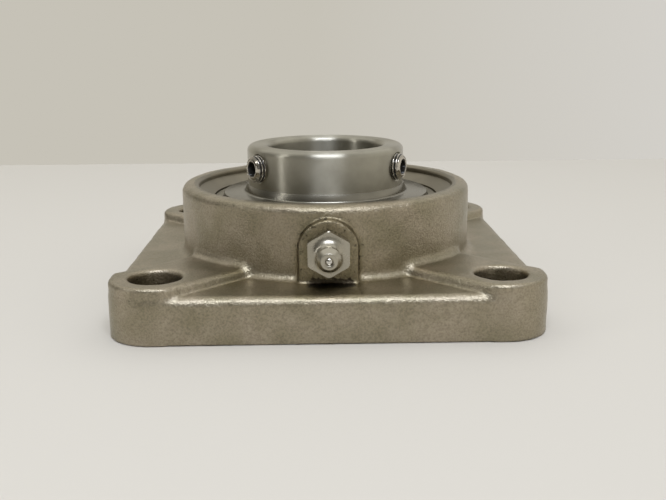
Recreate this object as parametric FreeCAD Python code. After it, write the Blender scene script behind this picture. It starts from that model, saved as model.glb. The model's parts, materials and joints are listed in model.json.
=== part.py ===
import FreeCAD
import Part
import math
import os

# Square four-bolt flange bearing unit with a self-aligning insert ball bearing.
# Millimetres. +Z is the shaft axis, z = 0 is the mounting face, -Y is the greasing side.

# --- housing -------------------------------------------------------------------------
FLANGE_SIDE = 116.4
BOLT_SPACING = 92.0
BOLT_HOLE_R = 7.0
BOLT_HOLE_ROUNDING = 1.0
PLATE_TOP_Z = 12.8
ARM_TOP_Z = 15.4
PLATE_EDGE_ROUNDING = 2.4
ARM_EDGE_ROUNDING = 1.0
BASE_EDGE_CHAMFER = 0.5
BOSS_R = 44.1
BOSS_TOP_Z = 33.4
BOSS_FOOT_FILLET = 2.4
RIM_ROUNDING = 2.2
COUNTERBORE_R = 39.0
COUNTERBORE_LIP = 0.5
LEDGE_Z = 29.4
LEDGE_RIM_Z = 31.6
BACK_RECESS_R = 38.0
BACK_RECESS_DEPTH = 8.6
RIM_WALL = 7.0
BEARING_WALL_R = 43.6
POCKET_DEPTH = 8.3
POCKET_CORNER_R = 2.5
POCKET_RIB_HALF = 5.0
EAR_WALL = 6.2

# --- insert bearing ------------------------------------------------------------------
SEAT_Z = 19.0
SPHERE_R = 36.0
SEAT_CLEARANCE = 0.02
OUTER_RING_WIDTH = 20.0
OUTER_LAND_R = 30.0
OUTER_FACE_BORE_R = 31.9
OUTER_CORNER = 0.5
BORE_R = 17.5
COLLAR_R = 24.0
INNER_BACK_Z = 1.5
INNER_FRONT_Z = 44.8
BORE_ROUNDING = 1.6
RING_BACK_CHAMFER = 0.5
COLLAR_ROUNDING = 1.8
BALL_COUNT = 9
BALL_R = 5.556
PITCH_R = 26.75
RACE_R = 5.75
RACE_CLEARANCE = 0.03

# --- seals and slingers, as distances outward from the bearing's middle plane ----------
SEAL_BACK = 7.8
SEAL_PLATE = 0.5
SEAL_RIM = 1.5
SEAL_OUTER_R = 31.5
SEAL_PLATE_IN_R = 25.0
LIP_CLEARANCE = 0.06
LIP_OUTER_R = 26.2
LIP_SKIN = 0.45
SLINGER_R = 31.5
SLINGER_BACK = 10.55
SLINGER_THICKNESS = 0.95
SLINGER_SLEEVE_END = 13.9
SLINGER_SLEEVE_R = 24.95
SLINGER_BEND = 1.5

# --- cage ----------------------------------------------------------------------------
CAGE_IN_R = 24.5
CAGE_OUT_R = 29.3
CAGE_SHEET = 0.8
POCKET_CLEARANCE = 0.1
RIVET_R = 0.8
RIVET_HEAD_R = 1.35
RIVET_HEAD = 0.6

# --- set screws (M8) --------------------------------------------------------------------
SCREW_R = 3.95
SCREW_HOLE_R = 4.03
SCREW_HOLE_SINK = 0.4
SCREW_LENGTH = 7.8
SCREW_Z = 38.9
SCREW_CHAMFER = 0.6
SOCKET_FLATS = 4.0
SOCKET_DEPTH = 4.2
CUP_R = 2.4
CUP_DEPTH = 1.4
SCREWS = {
    "set_screw_left": (-57.0, 26.2),
    "set_screw_right": (63.0, 25.8),
}

# --- grease fitting, pad and lubrication passages ---------------------------------------
PAD_FACE_Y = -46.0
PAD_DEPTH = 8.0
PAD_HALF = 8.1
PAD_ARCH_Z = 22.0
PAD_ROUNDING = 0.9
FITTING_Z = 21.5
FITTING_HOLE_R = 4.85
FITTING_SHANK_R = 4.8
FITTING_SHANK = 6.0
FITTING_HOLE_SPARE = 0.6
HEX_FLATS = 11.1
HEX_TOP = 3.3
HEX_EDGE = 0.3
HEX_TOP_CHAMFER = 0.95
HEX_TOP_CHAMFER_DEPTH = 0.5
NECK_FILLET = 2.4
NECK_R = 2.5
HEAD_R = 3.25
HEAD_BAND = 0.6
HEAD_UNDERCUT = 0.8
HEAD_WIDEST = 8.7
TIP = 10.6
TIP_R = 2.2
TIP_CHAMFER = 0.15
VALVE_BORE_R = 1.45
VALVE_BORE_START = 1.0
VALVE_SEAT_R = 1.0
VALVE_SEAT = 0.5
VALVE_FLARE = 0.35
BALL_GAP = 0.03
CHECK_BALL_R = 1.25
SPRING_WIRE_R = 0.17
SPRING_WIRE_ROOM = 0.22
SPRING_R = 1.1
SPRING_STOP_R = 0.8
SPRING_TURNS = 6
CHANNEL_R = 2.0
GROOVE_HALF = 1.6
GROOVE_DEPTH = 1.0
LUBE_HOLE_R = 0.9
LUBE_HOLE_Z = 24.6
LUBE_GROOVE_HALF = 1.4
LUBE_GROOVE_DEPTH = 0.7

# --- loading slots and locking pin ------------------------------------------------------
SLOT_HALF_WIDTH = 10.3
SLOT_REACH = 36.3
PIN_R = 1.5
PIN_HOLE_R = 1.55
PIN_START_R = 33.7
PIN_END_R = 37.4
PIN_CHAMFER = 0.2
PIN_HOLE_SPARE = 0.1
NOTCH_HALF = 1.7
NOTCH_R = 38.0
NOTCH_TOP_Z = 22.2

# PAST lets a cutting solid run past the face it cuts; SAME is a difference too small to count.
PAST = 1.0
SAME = 1e-4
HALF_BOLTS = BOLT_SPACING / 2
HALF_SIDE = FLANGE_SIDE / 2
EAR_R = HALF_SIDE - HALF_BOLTS
CORNERS = [(sx * HALF_BOLTS, sy * HALF_BOLTS) for sx in (-1, 1) for sy in (-1, 1)]

X_AXIS = FreeCAD.Vector(1, 0, 0)
Y_AXIS = FreeCAD.Vector(0, 1, 0)
Z_AXIS = FreeCAD.Vector(0, 0, 1)
ORIGIN = FreeCAD.Vector(0, 0, 0)


# --- helpers -----------------------------------------------------------------------------
def cylinder(radius, start, end, at=(0, 0)):
    """An upright cylinder from z = start to z = end."""
    return Part.makeCylinder(radius, end - start, FreeCAD.Vector(at[0], at[1], start), Z_AXIS)


def box(low, high):
    size = [b - a for a, b in zip(low, high)]
    return Part.makeBox(size[0], size[1], size[2], FreeCAD.Vector(*low))


def arc_edge(a, middle, b):
    """An arc in the half plane y = 0, through three (r, z) points."""
    points = [FreeCAD.Vector(r, 0, z) for r, z in (a, middle, b)]
    return Part.Arc(*points).toShape()


def line_edge(a, b):
    return Part.LineSegment(FreeCAD.Vector(a[0], 0, a[1]), FreeCAD.Vector(b[0], 0, b[1])).toShape()


def turned(path):
    """Revolve a closed (r, z) outline about Z. A step of four numbers is an arc's middle and end."""
    edges = []
    here = path[0]
    for step in path[1:] + [path[0]]:
        if len(step) == 4:
            middle, end = step[:2], step[2:]
            edges.append(arc_edge(here, middle, end))
        else:
            end = step
            edges.append(line_edge(here, end))
        here = end
    return Part.Face(Part.Wire(edges)).revolve(ORIGIN, Z_AXIS, 360)


def on_circle(center, radius, degrees):
    angle = math.radians(degrees)
    return (center[0] + radius * math.cos(angle), center[1] + radius * math.sin(angle))


def arc_step(center, radius, middle_degrees, end_degrees):
    """The arc's middle and end, as one step of a turned outline."""
    return on_circle(center, radius, middle_degrees) + on_circle(center, radius, end_degrees)


def prism(points, height):
    """A polygon in the XY plane, extruded upwards."""
    vectors = [FreeCAD.Vector(x, y, 0) for x, y in points]
    face = Part.Face(Part.makePolygon(vectors + vectors[:1]))
    return face.extrude(FreeCAD.Vector(0, 0, height))


def hexagon(flats, first_corner):
    """The corners of a hexagon, from its size across flats and its first corner's angle."""
    return [on_circle((0, 0), flats / math.sqrt(3), first_corner + 60 * i) for i in range(6)]


def pointed(shape, at, direction):
    """Move a shape modelled along +Z so that its origin is at a point and +Z is a direction."""
    moved = shape.copy()
    moved.Placement = FreeCAD.Placement(at, FreeCAD.Rotation(Z_AXIS, direction)).multiply(moved.Placement)
    return moved


def outward(azimuth):
    """The horizontal direction at an azimuth counted from -Y towards +X."""
    angle = math.radians(azimuth)
    return FreeCAD.Vector(math.sin(angle), -math.cos(angle), 0)


def fuse(shapes):
    return shapes[0].fuse(shapes[1:]).removeSplitter()


def mirrored(shape):
    """The same piece on the other side of the bearing's middle plane."""
    return shape.mirror(FreeCAD.Vector(0, 0, SEAT_Z), Z_AXIS)


def save(name, shapes):
    solids = []
    for shape in shapes:
        solids += shape.Solids
    whole = solids[0] if len(solids) == 1 else Part.makeCompound(solids)
    whole.exportStep("parts/" + name + ".step")


# --- housing -------------------------------------------------------------------------------
def edges_at(shape, test):
    return [edge for edge in shape.Edges if test(edge)]


def flat_at(height):
    """True for an edge that lies in the plane z = height."""
    def test(edge):
        bounds = edge.BoundBox
        return abs(bounds.ZMin - height) < SAME and abs(bounds.ZMax - height) < SAME
    return test


def upright(edge):
    return edge.BoundBox.ZLength > 1 and edge.BoundBox.XLength + edge.BoundBox.YLength < SAME


def plate():
    """The square flange with its corners round the bolt holes and its top edge rounded."""
    solid = box((-HALF_SIDE, -HALF_SIDE, 0), (HALF_SIDE, HALF_SIDE, PLATE_TOP_Z))
    solid = solid.makeFillet(EAR_R, edges_at(solid, upright))
    solid = solid.makeFillet(PLATE_EDGE_ROUNDING, edges_at(solid, flat_at(PLATE_TOP_Z)))
    return solid.makeChamfer(BASE_EDGE_CHAMFER, edges_at(solid, flat_at(0)))


def arm(corner):
    """A raised diagonal arm from the boss to the ear round one bolt hole."""
    reach = math.hypot(*corner)
    bar = box((0, -EAR_R, BASE_EDGE_CHAMFER), (reach, EAR_R, ARM_TOP_Z))
    bar = bar.fuse(cylinder(EAR_R, BASE_EDGE_CHAMFER, ARM_TOP_Z, (reach, 0))).removeSplitter()
    rim = [e for e in edges_at(bar, flat_at(ARM_TOP_Z)) if e.BoundBox.XMax > PAST]
    bar = bar.makeFillet(ARM_EDGE_ROUNDING, rim)
    bar.rotate(ORIGIN, Z_AXIS, math.degrees(math.atan2(corner[1], corner[0])))
    return bar


def boss():
    """The round boss with a rounded rim and a fillet where it meets the plate."""
    foot = (BOSS_R + BOSS_FOOT_FILLET, PLATE_TOP_Z + BOSS_FOOT_FILLET)
    rim = (BOSS_R - RIM_ROUNDING, BOSS_TOP_Z - RIM_ROUNDING)
    return turned([
        (0, PLATE_TOP_Z - PAST),
        (BOSS_R + BOSS_FOOT_FILLET, PLATE_TOP_Z - PAST),
        (BOSS_R + BOSS_FOOT_FILLET, PLATE_TOP_Z),
        arc_step(foot, BOSS_FOOT_FILLET, 225, 180),
        (BOSS_R, BOSS_TOP_Z - RIM_ROUNDING),
        arc_step(rim, RIM_ROUNDING, 45, 90),
        (0, BOSS_TOP_Z),
    ])


def arm_foot():
    """The same fillet one step higher, where the boss meets the arms."""
    foot = (BOSS_R + BOSS_FOOT_FILLET, ARM_TOP_Z + BOSS_FOOT_FILLET)
    ring = turned([
        (BOSS_R - PAST, ARM_TOP_Z - PAST),
        (BOSS_R + BOSS_FOOT_FILLET, ARM_TOP_Z - PAST),
        (BOSS_R + BOSS_FOOT_FILLET, ARM_TOP_Z),
        arc_step(foot, BOSS_FOOT_FILLET, 225, 180),
        (BOSS_R - PAST, ARM_TOP_Z + BOSS_FOOT_FILLET),
    ])
    half = EAR_R - ARM_EDGE_ROUNDING
    bars = []
    for turn in (45, -45):
        bar = box((-HALF_SIDE, -half, 0), (HALF_SIDE, half, BOSS_TOP_Z))
        bar.rotate(ORIGIN, Z_AXIS, turn)
        bars.append(bar)
    return ring.common(bars[0].fuse(bars[1]))


def fitting_pad():
    """The flat arched pad on the boss that the grease fitting is screwed into."""
    root_y = PAD_FACE_Y + PAD_DEPTH
    block = box((-PAD_HALF, PAD_FACE_Y, PLATE_TOP_Z - PAST), (PAD_HALF, root_y, PAD_ARCH_Z))
    arch = Part.makeCylinder(PAD_HALF, PAD_DEPTH, FreeCAD.Vector(0, PAD_FACE_Y, PAD_ARCH_Z), Y_AXIS)
    pad = block.fuse(arch).removeSplitter()

    def outline(edge):
        bounds = edge.BoundBox
        return abs(bounds.YMax - PAD_FACE_Y) < SAME and bounds.ZMax > PLATE_TOP_Z
    return pad.makeFillet(PAD_ROUNDING, edges_at(pad, outline))


def seat_cutter():
    """Spherical seat, front counterbore with its sloping ledge, back recess and grease groove."""
    reach = SPHERE_R + SEAT_CLEARANCE
    sphere = Part.makeSphere(reach, FreeCAD.Vector(0, 0, SEAT_Z))
    ledge_r = math.sqrt(reach ** 2 - (LEDGE_Z - SEAT_Z) ** 2)
    drop = (LEDGE_RIM_Z - LEDGE_Z) / (COUNTERBORE_R - ledge_r) * PAST
    front = turned([
        (0, LEDGE_Z - drop),
        (ledge_r - PAST, LEDGE_Z - drop),
        (COUNTERBORE_R, LEDGE_RIM_Z),
        (COUNTERBORE_R, BOSS_TOP_Z - COUNTERBORE_LIP),
        (COUNTERBORE_R + COUNTERBORE_LIP, BOSS_TOP_Z),
        (COUNTERBORE_R + COUNTERBORE_LIP, BOSS_TOP_Z + PAST),
        (0, BOSS_TOP_Z + PAST),
    ])
    back = cylinder(BACK_RECESS_R, -PAST, BACK_RECESS_DEPTH)
    groove = cylinder(reach + GROOVE_DEPTH, FITTING_Z - GROOVE_HALF, FITTING_Z + GROOVE_HALF)
    return [sphere, front, back, groove]


def slot_cutter():
    """The two slots that the insert is loaded through, and the notch for its locking pin."""
    slots = box((-SLOT_REACH, -SLOT_HALF_WIDTH, -PAST), (SLOT_REACH, SLOT_HALF_WIDTH, SEAT_Z))
    notch = box((0, -NOTCH_HALF, SEAT_Z - PAST), (NOTCH_R, NOTCH_HALF, NOTCH_TOP_Z))
    entry = box((0, -NOTCH_HALF, -PAST), (NOTCH_R, NOTCH_HALF, SEAT_Z))
    return [slots, notch.fuse(entry).removeSplitter()]


def bolt_hole_cutter(corner):
    """A through hole with a soft cast edge on top and a small chamfer below."""
    lip = (BOLT_HOLE_R + BOLT_HOLE_ROUNDING, ARM_TOP_Z - BOLT_HOLE_ROUNDING)
    hole = turned([
        (0, -PAST),
        (BOLT_HOLE_R + BASE_EDGE_CHAMFER, -PAST),
        (BOLT_HOLE_R + BASE_EDGE_CHAMFER, 0),
        (BOLT_HOLE_R, BASE_EDGE_CHAMFER),
        (BOLT_HOLE_R, ARM_TOP_Z - BOLT_HOLE_ROUNDING),
        arc_step(lip, BOLT_HOLE_ROUNDING, 135, 90),
        (BOLT_HOLE_R + BOLT_HOLE_ROUNDING, ARM_TOP_Z + PAST),
        (0, ARM_TOP_Z + PAST),
    ])
    hole.translate(FreeCAD.Vector(corner[0], corner[1], 0))
    return hole


def back_pocket(turn):
    """One of the four cored pockets between the rim, the bearing wall and the ears."""
    inner = HALF_SIDE - RIM_WALL
    pocket = box((-inner, -inner, 0), (inner, -BEARING_WALL_R / 2, POCKET_DEPTH))
    walls = [cylinder(BEARING_WALL_R, 0, POCKET_DEPTH)]
    walls += [cylinder(BOLT_HOLE_R + EAR_WALL, 0, POCKET_DEPTH, corner) for corner in CORNERS]
    for angle in (45, -45):
        rib = box((-FLANGE_SIDE, -POCKET_RIB_HALF, 0), (FLANGE_SIDE, POCKET_RIB_HALF, POCKET_DEPTH))
        rib.rotate(ORIGIN, Z_AXIS, angle)
        walls.append(rib)
    pocket = max(pocket.cut(walls).Solids, key=lambda s: s.Volume)
    pocket = pocket.makeFillet(POCKET_CORNER_R, edges_at(pocket, upright))
    mouth = next(face for face in pocket.Faces if face.BoundBox.ZMax < SAME)
    pocket = pocket.fuse(mouth.extrude(FreeCAD.Vector(0, 0, -PAST))).removeSplitter()
    pocket.rotate(ORIGIN, Z_AXIS, turn)
    return pocket


def fitting_bore_cutter():
    """The tapped hole in the pad and the passage from it to the annular groove."""
    at = FreeCAD.Vector(0, PAD_FACE_Y - PAST, FITTING_Z)
    hole = Part.makeCylinder(FITTING_HOLE_R, PAST + FITTING_SHANK + FITTING_HOLE_SPARE, at, Y_AXIS)
    passage = Part.makeCylinder(CHANNEL_R, abs(PAD_FACE_Y) - SPHERE_R + PAST, at, Y_AXIS)
    return [hole, passage]


def flange_housing():
    solid = fuse([plate(), boss(), arm_foot(), fitting_pad()] + [arm(c) for c in CORNERS])
    cutters = seat_cutter() + slot_cutter() + fitting_bore_cutter()
    cutters += [bolt_hole_cutter(c) for c in CORNERS]
    cutters += [back_pocket(turn) for turn in (0, 90, 180, 270)]
    return solid.cut(cutters).removeSplitter()


# --- insert bearing ----------------------------------------------------------------------------
def outer_ring():
    half = OUTER_RING_WIDTH / 2
    top, bottom = SEAT_Z + half, SEAT_Z - half
    face_r = math.sqrt(SPHERE_R ** 2 - half ** 2)
    corner = math.degrees(math.asin((half - OUTER_CORNER) / SPHERE_R))
    seal_r = SEAL_OUTER_R + LIP_CLEARANCE
    seat = (0, SEAT_Z)
    race = PITCH_R + BALL_R + RACE_CLEARANCE - RACE_R
    race_half = math.degrees(math.acos((OUTER_LAND_R - race) / RACE_R))
    ring = turned([
        (OUTER_FACE_BORE_R, top),
        (face_r - OUTER_CORNER, top),
        on_circle(seat, SPHERE_R, corner),
        arc_step(seat, SPHERE_R, 0, -corner),
        (face_r - OUTER_CORNER, bottom),
        (OUTER_FACE_BORE_R, bottom),
        (seal_r, SEAT_Z - SEAL_BACK - SEAL_RIM),
        (seal_r, SEAT_Z - SEAL_BACK),
        (OUTER_LAND_R, SEAT_Z - SEAL_BACK),
        on_circle((race, SEAT_Z), RACE_R, -race_half),
        arc_step((race, SEAT_Z), RACE_R, 0, race_half),
        (OUTER_LAND_R, SEAT_Z + SEAL_BACK),
        (seal_r, SEAT_Z + SEAL_BACK),
        (seal_r, SEAT_Z + SEAL_BACK + SEAL_RIM),
    ])
    skin_r = math.sqrt(SPHERE_R ** 2 - (LUBE_HOLE_Z - SEAT_Z) ** 2)
    low, high = LUBE_HOLE_Z - LUBE_GROOVE_HALF, LUBE_HOLE_Z + LUBE_GROOVE_HALF
    groove = cylinder(SPHERE_R + PAST, low, high)
    groove = groove.cut(cylinder(skin_r - LUBE_GROOVE_DEPTH, low, high))
    at = FreeCAD.Vector(0, 0, LUBE_HOLE_Z)
    hole = Part.makeCylinder(LUBE_HOLE_R, SPHERE_R + PAST, at, outward(0))
    pin_at = FreeCAD.Vector(PIN_START_R - PIN_HOLE_SPARE, 0, SEAT_Z)
    pin_hole = Part.makeCylinder(PIN_HOLE_R, SPHERE_R, pin_at, X_AXIS)
    return ring.cut([groove, hole, pin_hole]).removeSplitter()


def inner_ring():
    race = PITCH_R - BALL_R - RACE_CLEARANCE + RACE_R
    race_half = math.degrees(math.acos((race - COLLAR_R) / RACE_R))
    edge = (COLLAR_R - COLLAR_ROUNDING, INNER_FRONT_Z - COLLAR_ROUNDING)
    mouth = (BORE_R + BORE_ROUNDING, INNER_FRONT_Z - BORE_ROUNDING)
    ring = turned([
        (BORE_R, INNER_BACK_Z + RING_BACK_CHAMFER),
        (BORE_R + RING_BACK_CHAMFER, INNER_BACK_Z),
        (COLLAR_R - RING_BACK_CHAMFER, INNER_BACK_Z),
        (COLLAR_R, INNER_BACK_Z + RING_BACK_CHAMFER),
        on_circle((race, SEAT_Z), RACE_R, 180 + race_half),
        arc_step((race, SEAT_Z), RACE_R, 180, 180 - race_half),
        (COLLAR_R, INNER_FRONT_Z - COLLAR_ROUNDING),
        arc_step(edge, COLLAR_ROUNDING, 45, 90),
        (BORE_R + BORE_ROUNDING, INNER_FRONT_Z),
        arc_step(mouth, BORE_ROUNDING, 135, 180),
    ])
    sink_r = SCREW_HOLE_R + SCREW_HOLE_SINK
    holes = []
    for azimuth, _ in SCREWS.values():
        direction = outward(azimuth)
        holes.append(Part.makeCylinder(SCREW_HOLE_R, SPHERE_R, FreeCAD.Vector(0, 0, SCREW_Z), direction))
        sink_at = FreeCAD.Vector(0, 0, SCREW_Z) + direction * (COLLAR_R - SCREW_HOLE_SINK)
        holes.append(Part.makeCone(SCREW_HOLE_R, sink_r, SCREW_HOLE_SINK, sink_at, direction))
    return ring.cut(holes).removeSplitter()


def seal_core():
    """Pressed steel carrier: a flat washer with a rim that is sprung into the outer ring."""
    back = SEAT_Z + SEAL_BACK
    rim_in = SEAL_OUTER_R - SEAL_PLATE
    return turned([
        (SEAL_PLATE_IN_R, back),
        (SEAL_OUTER_R, back),
        (SEAL_OUTER_R, back + SEAL_RIM),
        (rim_in, back + SEAL_RIM),
        (rim_in, back + SEAL_PLATE),
        (SEAL_PLATE_IN_R, back + SEAL_PLATE),
    ])


def seal_lip():
    """Rubber lip bonded round the carrier's inner edge, just off the inner ring."""
    back = SEAT_Z + SEAL_BACK
    front = back + SEAL_PLATE
    tip_r = COLLAR_R + LIP_CLEARANCE
    root_r = SEAL_PLATE_IN_R
    return turned([
        (root_r, back),
        (LIP_OUTER_R, back),
        (LIP_OUTER_R, back - LIP_SKIN),
        (root_r, back - LIP_SKIN),
        (tip_r, back - LIP_SKIN / 2),
        (tip_r, back + SEAL_PLATE / 2),
        (root_r - LIP_SKIN, front),
        (root_r - LIP_SKIN, front + LIP_SKIN),
        (LIP_OUTER_R, front + LIP_SKIN),
        (LIP_OUTER_R, front),
        (root_r, front),
    ])


def slinger():
    """Polished disc on a short sleeve pressed on the inner ring, covering the seal."""
    back = SEAT_Z + SLINGER_BACK
    front = back + SLINGER_THICKNESS
    end = SEAT_Z + SLINGER_SLEEVE_END
    nose = SLINGER_THICKNESS / 2
    bend = (SLINGER_SLEEVE_R + SLINGER_BEND, front + SLINGER_BEND)
    return turned([
        (COLLAR_R, back),
        (SLINGER_R, back),
        (SLINGER_R, front),
        (bend[0], front),
        arc_step(bend, SLINGER_BEND, 225, 180),
        (SLINGER_SLEEVE_R, end - nose),
        (SLINGER_SLEEVE_R - nose, end),
        (COLLAR_R, end),
    ])


def ball_center(index):
    return outward(360 * index / BALL_COUNT) * PITCH_R + FreeCAD.Vector(0, 0, SEAT_Z)


def rivet_center(index):
    return outward(360 * (index + 0.5) / BALL_COUNT) * PITCH_R + FreeCAD.Vector(0, 0, SEAT_Z)


def cage_half():
    """A pressed ribbon ring: flat webs between the balls and a cup over each ball."""
    inner = BALL_R + POCKET_CLEARANCE
    web = cylinder(CAGE_OUT_R, SEAT_Z, SEAT_Z + CAGE_SHEET)
    cups = [Part.makeSphere(inner + CAGE_SHEET, ball_center(i)) for i in range(BALL_COUNT)]
    top = SEAT_Z + SEAL_BACK
    band = cylinder(CAGE_OUT_R, SEAT_Z, top).cut(cylinder(CAGE_IN_R, SEAT_Z, top))
    half = web.fuse(cups).common(band)
    rooms = [Part.makeSphere(inner, ball_center(i)) for i in range(BALL_COUNT)]
    shanks = [Part.makeCylinder(RIVET_R, 2 * CAGE_SHEET, rivet_center(i), Z_AXIS) for i in range(BALL_COUNT)]
    return half.cut(rooms + shanks).removeSplitter()


def cage_rivet(index):
    at = rivet_center(index)
    solid = turned([
        (0, -CAGE_SHEET - RIVET_HEAD),
        (RIVET_HEAD_R / 2, -CAGE_SHEET - RIVET_HEAD),
        (RIVET_HEAD_R, -CAGE_SHEET),
        (RIVET_R, -CAGE_SHEET),
        (RIVET_R, CAGE_SHEET),
        (RIVET_HEAD_R, CAGE_SHEET),
        (RIVET_HEAD_R / 2, CAGE_SHEET + RIVET_HEAD),
        (0, CAGE_SHEET + RIVET_HEAD),
    ])
    solid.translate(at)
    return solid


def set_screw(azimuth, end_r):
    """A hexagon-socket screw with a cup point, its outer end at radius end_r."""
    body = turned([
        (0, 0),
        (SCREW_R - SCREW_CHAMFER, 0),
        (SCREW_R, -SCREW_CHAMFER),
        (SCREW_R, SCREW_CHAMFER - SCREW_LENGTH),
        (SCREW_R - SCREW_CHAMFER, -SCREW_LENGTH),
        (CUP_R, -SCREW_LENGTH),
        (0, CUP_DEPTH - SCREW_LENGTH),
    ])
    socket = prism(hexagon(SOCKET_FLATS, 0), SOCKET_DEPTH)
    socket.translate(FreeCAD.Vector(0, 0, -SOCKET_DEPTH))
    direction = outward(azimuth)
    return pointed(body.cut(socket), direction * end_r + FreeCAD.Vector(0, 0, SCREW_Z), direction)


# --- grease fitting --------------------------------------------------------------------------------
def on_pad(shape):
    """Stand a shape modelled along +Z on the pad, pointing along -Y."""
    return pointed(shape, FreeCAD.Vector(0, PAD_FACE_Y, FITTING_Z), outward(0))


def grease_fitting_body():
    """Threaded shank, hexagon, a neck that flares into it and a button head."""
    corner_r = HEX_FLATS / math.sqrt(3)
    nut = prism(hexagon(HEX_FLATS, 90), HEX_TOP)
    envelope = turned([
        (0, 0),
        (corner_r - HEX_EDGE, 0),
        (corner_r, HEX_EDGE),
        (corner_r, HEX_TOP - HEX_TOP_CHAMFER_DEPTH),
        (corner_r - HEX_TOP_CHAMFER, HEX_TOP),
        (0, HEX_TOP),
    ])
    half_band = HEAD_BAND / 2
    flare = (NECK_R + NECK_FILLET, HEX_TOP + NECK_FILLET)
    stem = turned([
        (0, HEX_TOP),
        (NECK_R + NECK_FILLET, HEX_TOP),
        arc_step(flare, NECK_FILLET, 225, 180),
        (NECK_R, HEAD_WIDEST - half_band - HEAD_UNDERCUT),
        (HEAD_R, HEAD_WIDEST - half_band),
        (HEAD_R, HEAD_WIDEST + half_band),
        (TIP_R + TIP_CHAMFER, TIP - TIP_CHAMFER),
        (TIP_R, TIP),
        (0, TIP),
    ])
    shank = cylinder(FITTING_SHANK_R, -FITTING_SHANK, 0)
    bore = turned([
        (0, -FITTING_SHANK - PAST),
        (SPRING_STOP_R, -FITTING_SHANK - PAST),
        (SPRING_STOP_R, VALVE_BORE_START),
        (VALVE_BORE_R, VALVE_BORE_START),
        (VALVE_BORE_R, TIP - VALVE_SEAT - (VALVE_BORE_R - VALVE_SEAT_R)),
        (VALVE_SEAT_R, TIP - VALVE_SEAT),
        (VALVE_SEAT_R + VALVE_FLARE, TIP),
        (VALVE_SEAT_R + VALVE_FLARE, TIP + PAST),
        (0, TIP + PAST),
    ])
    return on_pad(fuse([nut.common(envelope), stem, shank]).cut(bore))


def check_ball_height():
    """How far the closed check ball's centre stands off the pad."""
    return TIP - VALVE_SEAT - math.sqrt(CHECK_BALL_R ** 2 - VALVE_SEAT_R ** 2) - BALL_GAP


def grease_fitting_check_ball():
    return Part.makeSphere(CHECK_BALL_R, FreeCAD.Vector(0, PAD_FACE_Y - check_ball_height(), FITTING_Z))


def grease_fitting_spring():
    """A coil of round wire between the step in the fitting's bore and the back of the ball."""
    start = VALVE_BORE_START + SPRING_WIRE_ROOM
    behind_ball = math.sqrt((CHECK_BALL_R + SPRING_WIRE_ROOM) ** 2 - SPRING_R ** 2)
    length = check_ball_height() - behind_ball - start
    helix = Part.makeHelix(length / SPRING_TURNS, length, SPRING_R)
    section = Part.Wire([Part.makeCircle(SPRING_WIRE_R, FreeCAD.Vector(SPRING_R, 0, 0), Y_AXIS)])
    coil = Part.Wire(helix).makePipeShell([section], True, True)
    coil.translate(FreeCAD.Vector(0, 0, start))
    return on_pad(coil)


def locking_pin():
    at = FreeCAD.Vector(PIN_START_R, 0, SEAT_Z)
    pin = Part.makeCylinder(PIN_R, PIN_END_R - PIN_START_R, at, X_AXIS)
    ends = edges_at(pin, lambda edge: edge.BoundBox.XLength < SAME)
    return pin.makeChamfer(PIN_CHAMFER, ends)


def main():
    os.makedirs("parts", exist_ok=True)
    save("flange_housing", [flange_housing()])
    save("grease_fitting_body", [grease_fitting_body()])
    save("grease_fitting_check_ball", [grease_fitting_check_ball()])
    save("grease_fitting_spring", [grease_fitting_spring()])
    save("locking_pin", [locking_pin()])
    save("outer_ring", [outer_ring()])
    save("inner_ring", [inner_ring()])
    both_sides = {
        "%s_seal_core": seal_core(),
        "%s_seal_lip": seal_lip(),
        "%s_slinger": slinger(),
        "cage_%s_half": cage_half(),
    }
    for name, shape in both_sides.items():
        save(name % "front", [shape])
        save(name % "rear", [mirrored(shape)])
    save("cage_rivets", [cage_rivet(i) for i in range(BALL_COUNT)])
    for i in range(BALL_COUNT):
        save("ball_" + str(i + 1), [Part.makeSphere(BALL_R, ball_center(i))])
    for name, (azimuth, end_r) in SCREWS.items():
        save(name, [set_screw(azimuth, end_r)])


main()
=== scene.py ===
import json
import math
import bpy
import numpy as np
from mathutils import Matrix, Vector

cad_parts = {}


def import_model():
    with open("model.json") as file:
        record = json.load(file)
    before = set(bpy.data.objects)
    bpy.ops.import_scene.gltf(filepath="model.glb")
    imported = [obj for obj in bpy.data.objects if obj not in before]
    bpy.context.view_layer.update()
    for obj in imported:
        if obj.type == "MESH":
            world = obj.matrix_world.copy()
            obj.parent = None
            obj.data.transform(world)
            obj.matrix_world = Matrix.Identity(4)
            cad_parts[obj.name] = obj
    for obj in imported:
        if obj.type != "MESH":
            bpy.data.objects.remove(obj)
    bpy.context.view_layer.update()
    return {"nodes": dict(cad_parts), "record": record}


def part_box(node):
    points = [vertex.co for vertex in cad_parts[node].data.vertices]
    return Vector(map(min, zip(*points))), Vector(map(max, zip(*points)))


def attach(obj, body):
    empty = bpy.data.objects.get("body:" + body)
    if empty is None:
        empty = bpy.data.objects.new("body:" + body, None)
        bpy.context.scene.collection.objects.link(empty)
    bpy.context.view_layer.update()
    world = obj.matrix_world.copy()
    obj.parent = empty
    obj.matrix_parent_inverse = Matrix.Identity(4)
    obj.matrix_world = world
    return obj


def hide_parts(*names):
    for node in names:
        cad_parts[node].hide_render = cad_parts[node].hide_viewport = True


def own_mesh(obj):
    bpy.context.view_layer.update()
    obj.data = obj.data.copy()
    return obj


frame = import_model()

import openvdb
from mathutils import Matrix, Vector

# Square four-bolt flange bearing unit: the looks. Shapes are worked out in millimetres and made in
# metres. z = 0 is the mounting face, +Z is the shaft axis and -Y is the greasing side.
MM = 0.001

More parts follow.
